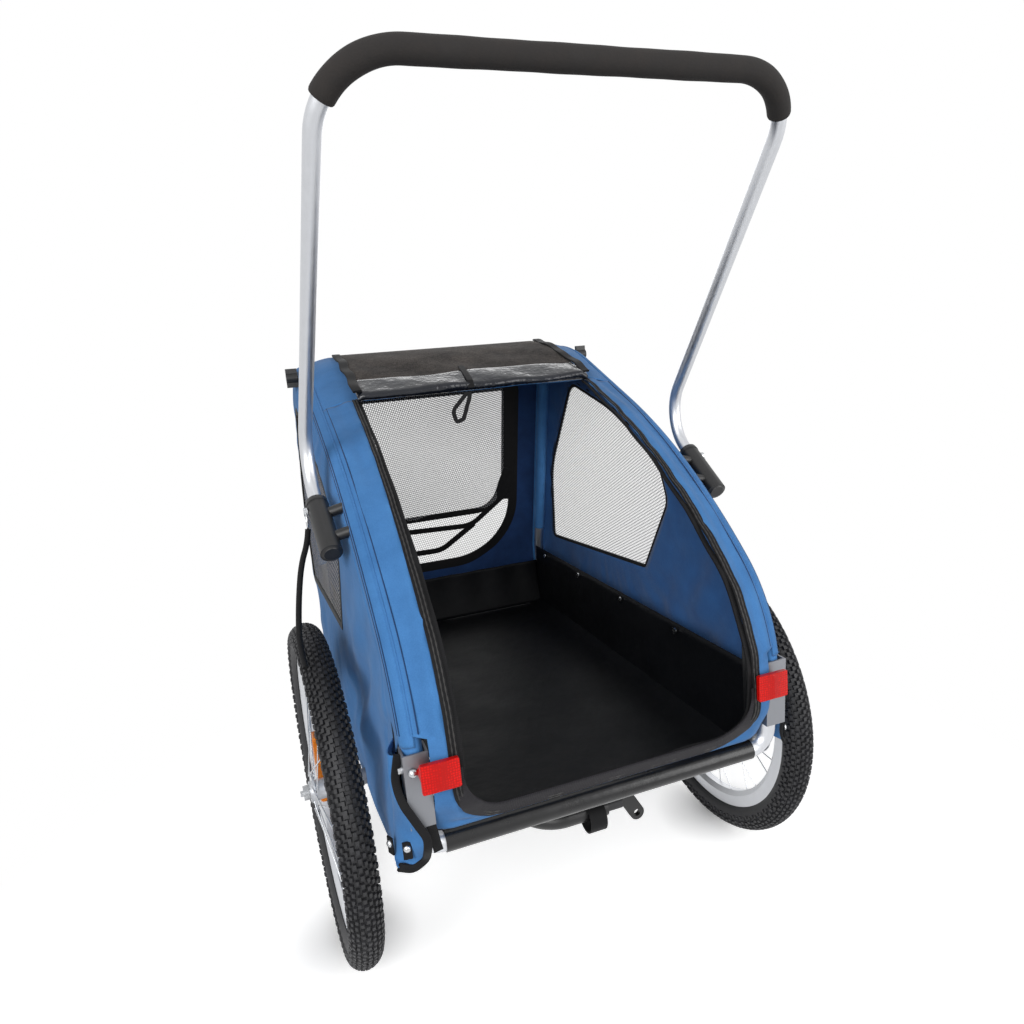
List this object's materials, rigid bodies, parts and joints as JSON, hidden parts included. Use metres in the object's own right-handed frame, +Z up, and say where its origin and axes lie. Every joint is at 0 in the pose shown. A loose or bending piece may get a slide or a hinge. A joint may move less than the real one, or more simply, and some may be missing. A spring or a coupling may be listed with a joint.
{
  "type": "dog bike trailer",
  "caption": "Two-wheeled fabric dog trailer with push handle, open rear door, mesh windows, folded drawbar and front swivel wheel.",
  "frame": {"origin": "middle of the footprint at ground level", "axes": "+Y is the way of travel, the loading door faces -Y, +Z is up, +X is the right-hand wheel"},
  "size_m": [0.7693, 1.1304, 1.1565],
  "materials": {
    "blue_canvas": "woven, matt",
    "black_lining": "coated, dull sheen",
    "dark_mesh": "open mesh",
    "silver_tube": "satin",
    "steel": "bright",
    "black_plastic": "moulded",
    "black_steel": "powder coat",
    "foam": "soft foam",
    "cord": "braided",
    "tyre": "knobbly tread",
    "red_lens": "prismatic",
    "amber_lens": "prismatic"
  },
  "bodies": {
    "chassis": {"rear_tube": "silver_tube", "rear_sleeve": "black_lining", "base_rail": "silver_tube", "axle_tube": "silver_tube", "axle_receivers": "silver_tube", "front_feet": "silver_tube", "left_hoop": "silver_tube", "right_hoop": "silver_tube", "crossbar": "silver_tube", "rear_channels": "silver_tube", "channel_bolts": "steel", "handle_couplers": "black_plastic", "coupler_bolts": "steel", "handle_tube": "silver_tube", "foam_grip": "foam", "rear_reflectors": "red_lens", "wheel_axles": "steel", "drawbar_bracket": "black_steel", "drawbar_bolt": "steel", "stow_clip": "black_plastic", "wheel_arm": "silver_tube", "cabin_tub": "black_lining", "floor_board": "black_lining", "tub_studs": "steel", "left_side_panel": "blue_canvas", "right_side_panel": "blue_canvas", "side_meshes": "dark_mesh", "skirt_studs": "steel", "rear_surround": "blue_canvas", "door_zip": "black_lining", "door_flap": "dark_mesh", "flap_ties": "black_lining", "front_panel": "blue_canvas", "front_mesh": "dark_mesh", "front_cover_roll": "black_lining"},
    "left_wheel": {"left_tyre": "tyre", "left_rim": "silver_tube", "left_hub": "silver_tube", "left_spokes": "steel", "left_spoke_reflector": "amber_lens"},
    "left_button": {"left_release_button": "steel"},
    "left_knob_screw": {"left_knob": "black_plastic"},
    "left_handle_pin": {"left_pin": "steel", "wrist_strap": "cord"},
    "right_wheel": {"right_tyre": "tyre", "right_rim": "silver_tube", "right_hub": "silver_tube", "right_spokes": "steel", "right_spoke_reflector": "amber_lens"},
    "right_button": {"right_release_button": "steel"},
    "right_knob_screw": {"right_knob": "black_plastic"},
    "right_handle_pin": {"right_pin": "steel"},
    "drawbar_swing": {"drawbar": "black_steel", "hitch_buffer": "foam", "safety_strap": "black_lining"},
    "hitch": {"hitch_arm": "black_steel"},
    "swivel": {"caster_fork": "silver_tube", "caster_axle": "steel"},
    "swivel_wheel": {"caster_rim": "black_plastic", "caster_tyre": "tyre"}
  },
  "joints": [
    {"name": "left_wheel_spin", "type": "hinge", "parent": "chassis", "child": "left_wheel", "pos_m": [-0.276, -0.22075, 0.25], "axis": [0.9986, 0.0523, 0], "continuous": true},
    {"name": "left_release", "type": "slide", "parent": "chassis", "child": "left_button", "axis": [0.9986, 0.0523, 0], "range_m": [0, 0.004], "stiffness_N_per_m": 600},
    {"name": "left_knob_turn", "type": "hinge", "parent": "chassis", "child": "left_knob_screw", "pos_m": [-0.2, 0.12432, 0.86586], "axis": [1, 0, 0], "continuous": true},
    {"name": "left_pin_pull", "type": "slide", "parent": "chassis", "child": "left_handle_pin", "axis": [-1, 0, 0], "range_m": [0, 0.04]},
    {"name": "right_wheel_spin", "type": "hinge", "parent": "chassis", "child": "right_wheel", "pos_m": [0.34, -0.22075, 0.25], "axis": [1, 0, 0], "continuous": true},
    {"name": "right_release", "type": "slide", "parent": "chassis", "child": "right_button", "axis": [-1, 0, 0], "range_m": [0, 0.004], "stiffness_N_per_m": 600},
    {"name": "right_knob_turn", "type": "hinge", "parent": "chassis", "child": "right_knob_screw", "pos_m": [0.2, 0.12432, 0.86586], "axis": [1, 0, 0], "continuous": true},
    {"name": "right_pin_pull", "type": "slide", "parent": "chassis", "child": "right_handle_pin", "axis": [1, 0, 0], "range_m": [0, 0.04]},
    {"name": "drawbar_fold", "type": "hinge", "parent": "chassis", "child": "drawbar_swing", "pos_m": [-0.205, 0.36925, 0.222], "axis": [1, 0, 0], "range_deg": [0, 180]},
    {"name": "hitch_swivel", "type": "hinge", "parent": "drawbar_swing", "child": "hitch", "pos_m": [0.0573, -0.42375, 0.222], "axis": [1, 0, 0], "range_deg": [-30, 30]},
    {"name": "caster_swivel", "type": "hinge", "parent": "chassis", "child": "swivel", "pos_m": [0, 0.52125, 0.262], "axis": [0, 0, 1], "continuous": true},
    {"name": "caster_wheel_spin", "type": "hinge", "parent": "swivel", "child": "swivel_wheel", "pos_m": [0, 0.46525, 0.1], "axis": [1, 0, 0], "continuous": true}
  ]
}
